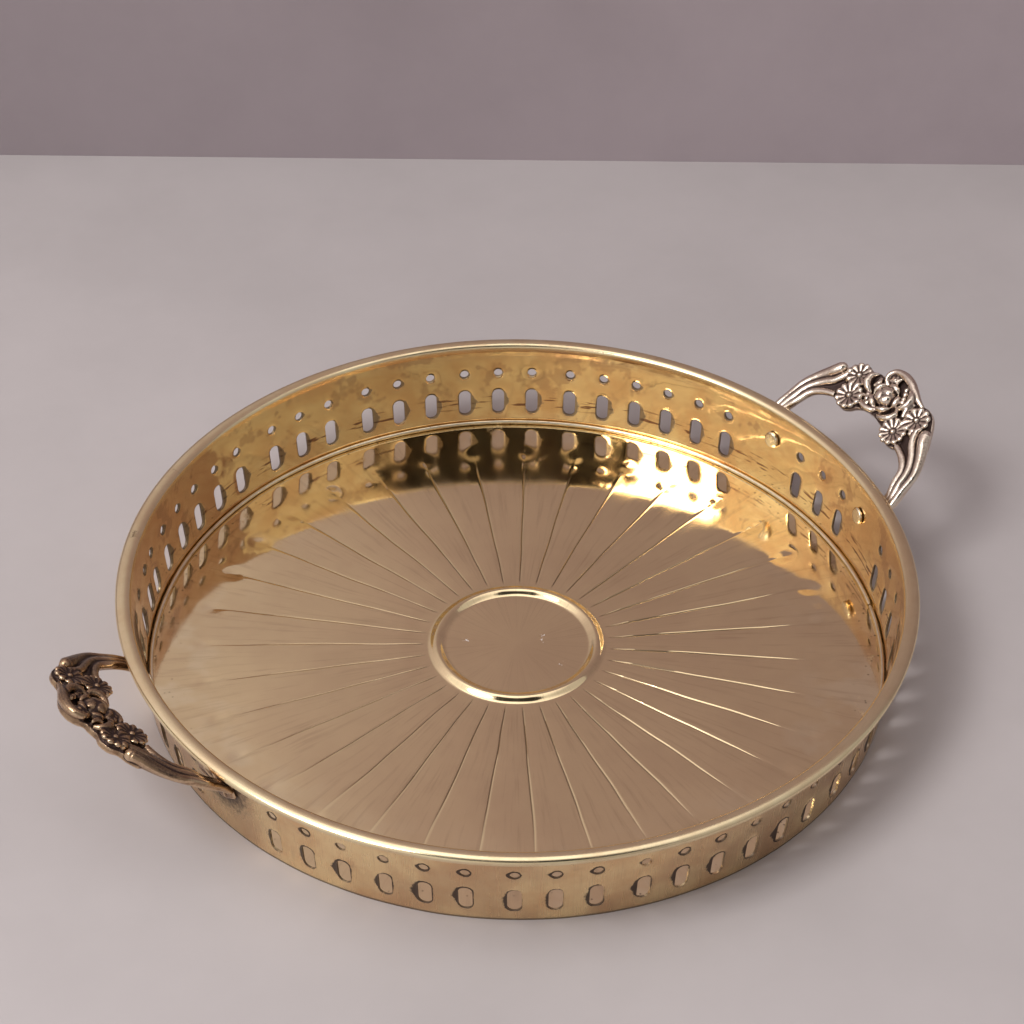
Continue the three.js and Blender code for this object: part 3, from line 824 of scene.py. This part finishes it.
def crest(shell):
    plate(shell)
    daisy(shell, (15.5, 21.2, 0.2), 6.7, 11, 0.3)
    daisy(shell, (19.3, 31.0, 0.4), 6.2, 10, 0.9, lift=0.7)
    daisy(shell, (-15.6, 21.3, 0.2), 6.7, 12, 0.1)
    daisy(shell, (-20.4, 31.6, 0.4), 6.4, 10, 0.5, lift=0.7)
    # bloom: a bud of three petals in a cup
    ball(shell, (0.4, 30.8, 0.2), 4.7, 0.75)
    for k in range(3):
        angle = math.radians(90 + 120 * k)
        root = (0.4 + 0.5 * math.cos(angle), 30.8 + 0.5 * math.sin(angle), 3.0)
        petal(shell, root, angle, 4.6, 2.8, 1.25, -1.5)
    for k in range(5):
        angle = math.radians(20 + 72 * k)
        turns = angle + np.linspace(-0.58, 0.58, 5)
        cup = [(0.4 + 6.3 * math.cos(b), 30.6 + 6.1 * math.sin(b), 0.5) for b in turns]
        strand(shell, cup, (0.5, 1.4, 1.7, 1.4, 0.5), 1.25, 14)
    # scroll over the top, curling in round a rosette
    over = [(-17, 37.6, -0.8), (-12.5, 38.9, -0.2), (-8, 41, 0.2), (-3, 43, 0.5), (2.2, 43.4, 0.7),
            (6, 42, 0.9), (7.3, 39, 1.0), (6, 36.6, 0.8), (3.6, 36, 0.5)]
    strand(shell, over, (0.9, 1.5, 1.9, 2.1, 2.1, 1.9, 1.6, 1.2, 0.7), 1.1, 60)
    for k in range(6):
        petal(shell, (3.0, 39.3, 0.6), 0.4 + k * math.pi / 3, 3.0, 1.3, 0.9, 0.3)
    ball(shell, (3.0, 39.3, 1.2), 1.0)
    # crescents each side of the bloom, and the leaf under it
    strand(shell, [(12.2, 37, 0), (14, 34.4, 0.9), (13.2, 31, 1.1), (10.6, 29, 0.8), (8, 28.4, 0.2)],
           (0.6, 1.6, 2.0, 1.6, 0.6), 1.1)
    strand(shell, [(-5, 41, 0), (-9.2, 38.9, 0.9), (-11.4, 35.4, 1.2), (-10.4, 31.8, 1), (-7.6, 29.6, 0.2)],
           (0.6, 1.6, 1.9, 1.6, 0.6), 1.1)
    strand(shell, [(-8, 30, 0), (-10.2, 27.4, 0.7), (-9, 24.4, 0.9), (-6, 22.6, 0.6), (-2.5, 22.4, 0)],
           (0.6, 1.5, 1.8, 1.5, 0.6), 1.1)
    strand(shell, [(9.6, 23.2, 0), (7, 22, 0.4), (3.6, 21.9, 0.4), (0.8, 23, 0.3), (-0.8, 24.8, 0)],
           (0.6, 1.4, 1.6, 1.4, 0.6))
    strand(shell, [(-13.6, 36.4, 0.2), (-12.6, 32.4, 0.6), (-13.6, 28.6, 0.3)], (0.8, 1.6, 0.8))
    strand(shell, [(9.6, 36.4, 0.2), (8.6, 33.6, 0.4), (9.8, 31.4, 0.3)], (0.8, 1.5, 0.8))
    for u, v in ((5.4, 25.6), (7.4, 25.2), (6.6, 27.0), (4.4, 27.2), (3.6, 25.2), (5.6, 23.9),
                 (8.4, 27), (-6.2, 37.2), (-7.4, 35.2), (-5, 39), (-8, 33.6)):
        ball(shell, (u, v, 0.4), 1.35)
    for u, v, w, radius in ((24.4, 29.8, 0.6, 1.9), (-24.6, 28, 0.4, 1.7), (-23, 25.4, 0.3, 1.3),
                            (22.3, 26, 0.1, 1.2), (10.6, 25.4, 0, 1.2), (-10.6, 27.6, 0, 1.2),
                            (-11.6, 25.6, 0, 1.1)):
        ball(shell, (u, v, w), radius)


def hollows(mesh, grime_and_painted_shade):
    """How deep each point lies in its surroundings and the crest's ground, negative on a ridge."""
    count = len(mesh.vertices)
    points = np.empty(count * 3, np.float32)
    mesh.vertices.foreach_get("co", points)
    points = points.reshape(-1, 3).astype(float)
    normals = np.empty(count * 3, np.float32)
    mesh.vertex_normals.foreach_get("vector", normals)
    edges = np.empty(len(mesh.edges) * 2, np.int32)
    mesh.edges.foreach_get("vertices", edges)
    a, b = edges.reshape(-1, 2).T
    near = np.bincount(a, minlength=count) + np.bincount(b, minlength=count)
    soft = points.copy()
    for _ in range(SOFTENING_ROUNDS):
        sums = [np.bincount(a, soft[b, k], count) + np.bincount(b, soft[a, k], count) for k in range(3)]
        soft = np.stack([total / near for total in sums], 1)
    normals = normals.reshape(-1, 3)
    depth = ((soft - points) * normals).sum(1)
    facing = normals @ PROUD
    from_root = points / MM - np.array([HANDLE_ROOT[0], 0, HANDLE_ROOT[1]])
    low = 1 - ease(from_root @ PROUD, -0.9, 0.9)
    ground = low * ease(from_root @ OUTWARDS, 12, 16) * ease(facing, 0.1, 0.6)
    face = ease(facing, 0.0, 0.6) * ease(from_root @ OUTWARDS, 6, 14)
    # The face term darkens the crest's face as painted shade, strongest on the left handle.
    return np.clip(depth / (HOLLOW_DEPTH * MM), -1.5, 1.5) + 0.8 * ground + grime_and_painted_shade * face


def handle(name, turned, grime_and_painted_shade, material):
    shell = Shell()
    for sign in (-1, 1):
        arm(shell, sign)
        pad(shell, sign)
    crest(shell)
    piece = shell.build(name)
    face_outwards(piece)
    remesh = piece.modifiers.new("Casting", "REMESH")
    remesh.mode = "VOXEL"
    remesh.voxel_size = CASTING_CELL * MM
    smooth = piece.modifiers.new("Worn", "SMOOTH")
    smooth.iterations = 2
    smooth.factor = 0.5
    evaluated = piece.evaluated_get(bpy.context.evaluated_depsgraph_get())
    cast = bpy.data.meshes.new_from_object(evaluated)
    piece.modifiers.clear()
    piece.data = cast
    cast.name = name
    mark_points(cast, "hollow", hollows(cast, grime_and_painted_shade))
    if turned:
        cast.transform(Matrix.Rotation(math.pi, 4, "Z"))
    cast.materials.clear()
    cast.materials.append(material)
    cast.shade_smooth()
    return piece


# Finishes


def new_group(name, inputs, outputs):
    tree = bpy.data.node_groups.new(name, "ShaderNodeTree")
    add_sockets(tree, inputs, outputs)
    n = Nodes(tree)
    return tree, n, n.add("NodeGroupInput").outputs, n.add("NodeGroupOutput")


def film_group():
    """Cloudy handling film and small dull blotches."""
    tree, n, given, result = new_group(
        "Handling film", (("Place", "Vector"), ("Size", "Float"), ("Amount", "Float")),
        (("Film", "Float"), ("Blotches", "Float")))
    scale = n.maths("DIVIDE", 1.0, given["Size"])
    cloud = n.noise(given["Place"], scale, 4.0, 0.62)
    film = n.times(n.ramp(cloud, 0.36, 0.66), given["Amount"])
    fine = n.noise(given["Place"], n.times(scale, 4.3), 3.0, 0.6)
    spots = n.times(n.ramp(fine, 0.6, 0.7), n.ramp(cloud, 0.42, 0.6))
    n.tree.links.new(film, result.inputs["Film"])
    n.tree.links.new(n.times(spots, given["Amount"]), result.inputs["Blotches"])
    return tree


def hairline_group():
    """Fine polishing lines that run along the second direction of the place it is given."""
    tree, n, given, result = new_group(
        "Polishing lines", (("Place", "Vector"), ("Across", "Float"), ("Along", "Float")),
        (("Lines", "Float"), ("Bands", "Float")))
    squeeze = n.join(given["Across"], given["Along"], given["Along"])
    place = n.vector("MULTIPLY", given["Place"], squeeze)
    n.tree.links.new(n.noise(place, 1.0, 3.0, 0.65), result.inputs["Lines"])
    n.tree.links.new(n.noise(n.vector("MULTIPLY", place, (0.21, 0.5, 0.5)), 1.0, 2.0), result.inputs["Bands"])
    return tree


def speck_group():
    """Scattered small specks, as pits or dried dirt."""
    tree, n, given, result = new_group(
        "Specks", (("Place", "Vector"), ("Spacing", "Float"), ("Share", "Float")), (("Specks", "Float"),))
    scale = n.maths("DIVIDE", 1.0, given["Spacing"])
    values = {"Vector": given["Place"], "Scale": scale, "Randomness": 1.0}
    cells = n.add("ShaderNodeTexVoronoi", values)
    draw = n.add("ShaderNodeSeparateColor", {0: cells.outputs["Color"]}).outputs[0]
    chosen = n.maths("LESS_THAN", draw, given["Share"])
    dot = n.less(1.0, n.ramp(cells.outputs["Distance"], 0.1, 0.3))
    n.tree.links.new(n.times(dot, chosen), result.inputs["Specks"])
    return tree


film = film_group()
hairlines = hairline_group()
specks = speck_group()


def use(n, group, values):
    return n.add("ShaderNodeGroup", values, node_tree=group).outputs


def new_material(name):
    material = bpy.data.materials.new(name)
    material.use_nodes = True
    return material, Nodes(material.node_tree), material.node_tree.nodes["Principled BSDF"]


def finish(n, surface, colour, roughness, height, depth, strength=1.0, metallic=1.0):
    """Feeds the surface: what varies is linked, and a plain number is set on the surface itself."""
    bump = n.add("ShaderNodeBump", {"Height": height, "Distance": depth, "Strength": strength})
    n.give(surface.inputs["Base Color"], colour)
    n.give(surface.inputs["Roughness"], roughness)
    n.give(surface.inputs["Metallic"], metallic)
    n.give(surface.inputs["Normal"], bump.outputs[0])


BRASS_DULL = (0.55, 0.40, 0.25, 1)
UMBER = (0.034, 0.016, 0.011, 1)
FOOT_PLACE = (0.1555, 0.0319, 0.029)  # the handle foot in the quarter where X and Y are positive


def floor_finish():
    material, n, surface = new_material("Pressed floor brass")
    sheet = n.attribute("sheet", "Vector")
    place = n.place()
    radius = n.split(sheet)[1]
    lines = use(n, hairlines, {"Place": sheet, "Across": 46.0, "Along": 26.0})
    cloud = use(n, film, {"Place": place, "Size": 0.045, "Amount": 1.0})
    edge = n.ramp(radius, 0.105, 0.15)
    dirt = use(n, specks, {"Place": place, "Spacing": 0.0022, "Share": 0.3})["Specks"]
    dirt = n.times(dirt, n.ramp(radius, 0.138, 0.152))
    colour = n.mix(n.times(cloud["Film"], 0.55), (0.93, 0.74, 0.45, 1), (0.82, 0.63, 0.39, 1))
    # Paler patches towards the edge: partly blotchy film, partly a painted sheen of the key light.
    pale = n.times(n.ramp(n.noise(place, 36.0, 3.0, 0.6), 0.48, 0.62), edge)
    colour = n.mix(n.times(pale, 0.6), colour, (1.0, 0.87, 0.60, 1))
    colour = n.mix(n.times(n.ramp(lines["Lines"], 0.5, 0.72), 0.34), colour, BRASS_DULL)
    # Painted shade: the flute grooves are darkened.
    colour = n.mix(n.times(n.attribute("groove"), 0.9), colour, (0.10, 0.055, 0.035, 1))
    colour = n.mix(n.times(dirt, 0.7), colour, UMBER)
    dried = n.ramp(n.noise(place, 130.0, 4.0, 0.7), 0.665, 0.70)
    dried = n.times(dried, n.ramp(radius, 0.022, 0.029, 1.0, 0.0))
    colour = n.mix(dried, colour, (1.0, 0.95, 0.9, 1))
    gloss = n.blend(n.ramp(lines["Bands"], 0.35, 0.7), 0.05, 0.12)
    gloss = n.plus(gloss, n.times(dried, 0.55))
    gloss = n.plus(gloss, n.times(n.times(cloud["Blotches"], edge), 0.22))
    gloss = n.plus(gloss, n.times(n.attribute("under"), 0.25))
    gloss = n.plus(gloss, n.times(n.attribute("groove"), 0.35))
    height = n.plus(n.times(lines["Lines"], 0.25), n.noise(place, 38.0, 1.0))
    finish(n, surface, colour, gloss, height, 0.0002, 0.3)
    return material


def wall_finish():
    material, n, surface = new_material("Gallery sheet brass")
    sheet = n.attribute("sheet", "Vector")
    place = n.place()
    outer = n.attribute("outer")
    bead = n.attribute("bead")
    x, _, z = n.split(sheet)
    upright = n.join(x, z)
    lines = use(n, hairlines, {"Place": upright, "Across": 1900.0, "Along": 60.0})
    cloud = use(n, film, {"Place": place, "Size": 0.022, "Amount": 1.0})
    stain = n.noise(place, 420.0, 3.0, 0.7)
    near = n.plus(n.attribute("near"), n.times(n.attribute("lee"), 0.6))
    near = n.times(near, n.ramp(n.noise(place, 48.0, 1.0), 0.36, 0.6, 0.7, 1.3))
    stain_and_painted_shade = n.ramp(n.plus(near, n.times(stain, 0.9)), 0.98, 1.3)
    stain_and_painted_shade = n.times(stain_and_painted_shade, n.blend(outer, 0.75, 0.95))
    # Darker outer face round each handle foot and under the rim: partly patina, partly painted shade.
    quarter = n.add("ShaderNodeVectorMath", {0: place}, operation="ABSOLUTE").outputs[0]
    folded = n.vector("SUBTRACT", quarter, FOOT_PLACE)
    from_foot = n.add("ShaderNodeVectorMath", {0: folded}, operation="LENGTH").outputs["Value"]
    grime_and_painted_shade = n.ramp(n.plus(from_foot, n.times(stain, 0.014)), 0.016, 0.028, 1.0, 0.0)
    under_rim = n.times(n.ramp(z, 0.0345, 0.0375), n.ramp(stain, 0.5, 0.68))
    grime_and_painted_shade = n.times(n.maths("MAXIMUM", grime_and_painted_shade, under_rim), n.less(outer, bead))
    stain_and_painted_shade = n.maths("MAXIMUM", stain_and_painted_shade, n.times(grime_and_painted_shade, 0.95))
    colour = n.mix(n.times(cloud["Film"], 0.9), (0.93, 0.71, 0.40, 1), (0.78, 0.51, 0.27, 1))
    # Painted reflection: dark patches on the inner face, from above the middle of the slots upwards.
    painted_reflection_patches = n.ramp(n.noise(place, 62.0, 3.0, 0.7), 0.53, 0.6)
    painted_reflection_patches = n.times(n.times(painted_reflection_patches, n.ramp(z, 0.012, 0.022)), 0.5)
    colour = n.mix(n.times(painted_reflection_patches, n.less(1.0, outer)), colour, (0.50, 0.31, 0.19, 1))
    # Painted reflection: dark brown streaks on the inner face, in a band at slot height.
    reflection_streak_place = n.join(n.times(x, 75.0), n.times(z, 620.0))
    band = n.times(n.ramp(z, 0.008, 0.010), n.ramp(z, 0.014, 0.017, 1.0, 0.0))
    painted_reflection_streaks = n.times(n.ramp(n.noise(reflection_streak_place, 1.0, 2.0), 0.56, 0.63), band)
    painted_reflection_streaks = n.times(painted_reflection_streaks, n.less(0.85, n.times(outer, 0.85)))
    colour = n.mix(painted_reflection_streaks, colour, (0.21, 0.08, 0.05, 1))
    tarnish = n.ramp(n.noise(place, 24.0, 3.0, 0.6), 0.42, 0.62)
    tarnish = n.times(tarnish, n.times(n.less(outer, bead), 0.4))
    colour = n.mix(tarnish, colour, (0.52, 0.33, 0.21, 1))
    colour = n.mix(n.times(cloud["Blotches"], 0.3), colour, BRASS_DULL)
    colour = n.mix(n.times(n.times(n.ramp(lines["Lines"], 0.52, 0.7), outer), 0.35), colour, BRASS_DULL)
    colour = n.mix(bead, colour, n.mix(cloud["Film"], (0.89, 0.74, 0.47, 1), (0.80, 0.62, 0.38, 1)))
    # Painted contact shadow: a dark line along the bottom of the outer face, where it meets the table.
    foot = n.times(n.ramp(z, 0.0004, 0.0016, 1.0, 0.0), n.times(outer, 0.8))
    stain_and_painted_shade = n.maths("MAXIMUM", stain_and_painted_shade, foot)
    colour = n.mix(stain_and_painted_shade, colour, UMBER)
    gloss = n.blend(outer, n.blend(cloud["Film"], 0.05, 0.12), n.blend(lines["Bands"], 0.18, 0.34))
    gloss = n.blend(bead, gloss, n.blend(cloud["Film"], 0.17, 0.27))
    gloss = n.blend(stain_and_painted_shade, gloss, 0.5)
    metallic = n.blend(stain_and_painted_shade, 1.0, 0.3)
    dents = n.times(n.noise(place, 75.0, 2.0), n.ramp(z, 0.012, 0.026, 0.05, 0.2))
    dents = n.times(dents, n.less(1.0, bead))
    height = n.plus(dents, n.times(lines["Lines"], n.blend(outer, 0.002, 0.02)))
    finish(n, surface, colour, gloss, height, 0.001, metallic=metallic)
    return material


def cast_finish(name, bright, dark, ridge):
    material, n, surface = new_material(name)
    place = n.place()
    hollow = n.attribute("hollow")
    cloud = use(n, film, {"Place": place, "Size": 0.008, "Amount": 1.0})
    grain = n.noise(place, 1500.0, 3.0, 0.6)
    depth = n.plus(hollow, n.times(n.less(grain, 0.5), 0.7))
    patina = n.ramp(depth, -0.05, 0.55)
    worn = n.ramp(depth, -0.15, -0.6)
    colour = n.mix(n.times(cloud["Film"], 0.5), bright, dark)
    colour = n.mix(n.times(worn, 0.75), colour, ridge)
    colour = n.mix(patina, colour, (0.038, 0.018, 0.014, 1))
    gloss = n.blend(patina, n.blend(worn, 0.24, 0.15), 0.45)
    metallic = n.blend(patina, 1.0, 0.55)
    height = n.plus(grain, n.times(n.noise(place, 420.0, 2.0), 1.5))
    finish(n, surface, colour, gloss, height, 0.0001, 0.7, metallic)
    return material


def small_finish(name, colour, rough):
    """Turned and drawn pieces: rivets, corner ring, rim wire."""
    material, n, surface = new_material(name)
    place = n.place()
    cloud = use(n, film, {"Place": place, "Size": 0.006, "Amount": 1.0})
    dots = use(n, specks, {"Place": place, "Spacing": 0.0014, "Share": 0.12})["Specks"]
    mixed = n.mix(n.times(cloud["Film"], 0.4), colour, BRASS_DULL)
    mixed = n.mix(n.times(dots, 0.6), mixed, UMBER)
    gloss = n.blend(cloud["Film"], rough, rough + 0.12)
    finish(n, surface, mixed, gloss, n.noise(place, 700.0, 2.0), 0.00005, 0.4)
    return material


# The tray

wall_brass = wall_finish()
floor_brass = floor_finish()
# One cast brass in two copies: the left copy's darker colours are painted shade.
right_brass = cast_finish(
    "Cast brass right", (0.66, 0.54, 0.45, 1), (0.42, 0.31, 0.25, 1), (0.9, 0.79, 0.66, 1))
left_brass_painted_shade = cast_finish(
    "Cast brass left with painted shade", (0.43, 0.28, 0.17, 1), (0.22, 0.135, 0.085, 1), (0.76, 0.57, 0.38, 1))
ring_brass = small_finish("Corner ring brass", (0.90, 0.78, 0.58, 1), 0.12)
rivet_brass = small_finish("Rivet brass", (0.86, 0.74, 0.54, 1), 0.2)
wire_brass = small_finish("Rim wire brass", (0.6, 0.45, 0.28, 1), 0.35)

PIECES = [
    (floor_pan(floor_brass), "floor_pan", "floor_brass"),
    (gallery_band(wall_brass), "gallery_band", "wall_brass"),
    (seam_ring(ring_brass), "seam_ring", "wall_brass"),
    (rim_wire(wire_brass), "rim_wire", "wall_brass"),
    (handle("Handle_right", False, 0.1, right_brass), "handle_right", "cast_brass"),
    (handle("Handle_left", True, 0.65, left_brass_painted_shade), "handle_left", "cast_brass"),
    (rivet("Rivet_right_front", -RIVET_AZIMUTH, rivet_brass), "rivet_right_front", "wall_brass"),
    (rivet("Rivet_right_back", RIVET_AZIMUTH, rivet_brass), "rivet_right_back", "wall_brass"),
    (rivet("Rivet_left_back", 180 - RIVET_AZIMUTH, rivet_brass), "rivet_left_back", "wall_brass"),
    (rivet("Rivet_left_front", 180 + RIVET_AZIMUTH, rivet_brass), "rivet_left_front", "wall_brass"),
]
for piece, node, slot in PIECES:
    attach(piece, "root")
    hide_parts(node)


# Table, backdrop, camera and light


def plaster(name, pale, dark, mottle):
    material, n, surface = new_material(name)
    place = n.place()
    broad = n.noise(place, 5.0, 5.0, 0.6)
    fine = n.noise(place, 90.0, 3.0, 0.6)
    darkness = n.plus(n.times(n.ramp(broad, 0.3, 0.7), mottle), n.times(fine, 0.12))
    return material, n, surface, place, fine, n.mix(darkness, pale, dark)


def tinted(n, colour, amount):
    return n.vector("MULTIPLY", colour, n.join(amount, amount, amount))


def plaster_surface(n, surface, colour, fine, low_gloss, high_gloss):
    roughness = n.blend(fine, low_gloss, high_gloss)
    finish(n, surface, colour, roughness, fine, 0.0003, 0.15, metallic=0.0)


def table_finish():
    """Pale plaster with painted shade that darkens it a little towards the camera."""
    material, n, surface, place, fine, colour = plaster(
        "Table", (0.555, 0.503, 0.500, 1), (0.475, 0.430, 0.426, 1), 0.7)
    away = n.dot(place, away_from_camera)
    # Painted shade: darker towards the camera.
    colour = tinted(n, colour, n.ramp(away, -0.42, -0.02, 0.84, 0.95))
    plaster_surface(n, surface, colour, fine, 0.6, 0.7)
    return material


def backdrop_finish():
    """Mauve plaster, darker and deeper above the strip behind the tray, and clear from behind. Painted light
    brightens the upper part towards the left; painted shade darkens the strip, most on the left.
    """
    material, n, surface, place, fine, colour = plaster(
        "Backdrop", (0.56, 0.468, 0.497, 1), (0.45, 0.374, 0.398, 1), 0.6)
    left = n.dot(place, along_board)
    height = n.split(place)[2]
    tint = n.mix(n.ramp(left, -0.02, 0.25), (1.0, 0.96, 0.94, 1), (0.97, 1.05, 1.0, 1))
    # Painted light and shade: the upper part brightens towards the left, and the strip darkens towards the
    # left.
    upper = n.vector("MULTIPLY", tinted(n, colour, n.ramp(left, -0.05, 0.3, 0.79, 1.3)), tint)
    strip = tinted(n, colour, n.ramp(left, -0.3, 0.3, 0.82, 0.64))
    colour = n.mix(n.ramp(height, 0.09, 0.19), strip, upper)
    plaster_surface(n, surface, colour, fine, 0.7, 0.8)
    clear = n.add("ShaderNodeBsdfTransparent").outputs[0]
    back = n.add("ShaderNodeNewGeometry").outputs["Backfacing"]
    both = n.add("ShaderNodeMixShader", {0: back, 1: surface.outputs[0], 2: clear}).outputs[0]
    n.tree.links.new(both, material.node_tree.nodes["Material Output"].inputs[0])
    return material


def sheet_of(name, corners, material):
    mesh = bpy.data.meshes.new(name)
    mesh.from_pydata(corners, [], [(0, 1, 2, 3)])
    mesh.materials.append(material)
    add_object(name, mesh)


BOARD_AZIMUTH = math.radians(57.8)
BOARD_DISTANCE = 0.3864
BOARD_HALF = 1.6
BOARD_HEIGHT = 1.3
TABLE_HALF = 2.5

away_from_camera = Vector((math.cos(BOARD_AZIMUTH), math.sin(BOARD_AZIMUTH), 0))
along_board = Vector((-away_from_camera.y, away_from_camera.x, 0))
table = table_finish()
board = backdrop_finish()
signs = ((-1, -1), (1, -1), (1, 1), (-1, 1))
sheet_of("Table", [(x * TABLE_HALF, y * TABLE_HALF, 0) for x, y in signs], table)
foot_of_board = away_from_camera * BOARD_DISTANCE
low_left = foot_of_board + along_board * BOARD_HALF
low_right = foot_of_board - along_board * BOARD_HALF
rise = Vector((0, 0, BOARD_HEIGHT))
sheet_of("Backdrop", [low_left, low_right, low_right + rise, low_left + rise], board)


def soft_light(name, azimuth, elevation, distance, size, power):
    """An area light aimed at the tray."""
    lamp = bpy.data.lights.new(name, "AREA")
    lamp.shape = "RECTANGLE"
    lamp.size, lamp.size_y = size
    lamp.energy = power
    a, e = math.radians(azimuth), math.radians(elevation)
    at = Vector((math.cos(e) * math.cos(a), math.cos(e) * math.sin(a), math.sin(e))) * distance
    stand = add_object(name, lamp)
    stand.location = at
    stand.rotation_euler = (-at).to_track_quat("-Z", "Y").to_euler()


soft_light("Key", azimuth=180, elevation=53, distance=2.4, size=(0.95, 0.8), power=27)


def studio_world():
    """A soft room: a bright zone overhead, and a dark rig in front that the polished ring mirrors."""
    world = bpy.data.worlds.new("Studio")
    world.use_nodes = True
    n = Nodes(world.node_tree)
    way = n.add("ShaderNodeTexCoord").outputs["Generated"]
    height = n.split(way)[2]
    towards = n.vector("MULTIPLY", way, (-1.0, -1.0, 0.0))
    front = n.dot(towards, away_from_camera)
    left = n.dot(way, along_board)
    flat = n.maths("SQRT", n.maths("MAXIMUM", n.less(1.0, n.times(height, height)), 0.001))
    bearing = n.maths("DIVIDE", front, flat)
    tall = n.times(n.ramp(height, 0.60, 0.72), n.ramp(height, 0.945, 0.985, 1.0, 0.0))
    rig = n.times(tall, n.ramp(bearing, 0.60, 0.74))
    bright = n.blend(n.ramp(height, 0.35, 0.85), 0.56, 0.85)
    bright = n.plus(bright, n.ramp(height, 0.82, 0.95, 0.0, 0.75))
    bright = n.times(bright, n.ramp(left, -0.5, 0.6, 0.68, 1.3))
    bright = n.times(bright, n.less(1.0, n.times(rig, 0.97)))
    back = world.node_tree.nodes["Background"]
    n.tree.links.new(bright, back.inputs["Strength"])
    back.inputs["Color"].default_value = (1.0, 0.97, 0.96, 1)
    bpy.context.scene.world = world


studio_world()

CAMERA_PLACE = (-0.45319, -0.71966, 0.76358)
CAMERA_TURN = (50.899, -0.366, -31.732)  # degrees
CAMERA_LENS = 95.126

camera_data = bpy.data.cameras.new("Camera")
camera_data.lens = CAMERA_LENS
camera_data.sensor_width = 36
camera_data.clip_end = 50
camera = add_object("Camera", camera_data)
camera.location = CAMERA_PLACE
camera.rotation_euler = [math.radians(turn) for turn in CAMERA_TURN]
bpy.context.scene.camera = camera
bpy.context.scene.view_settings.view_transform = "Standard"
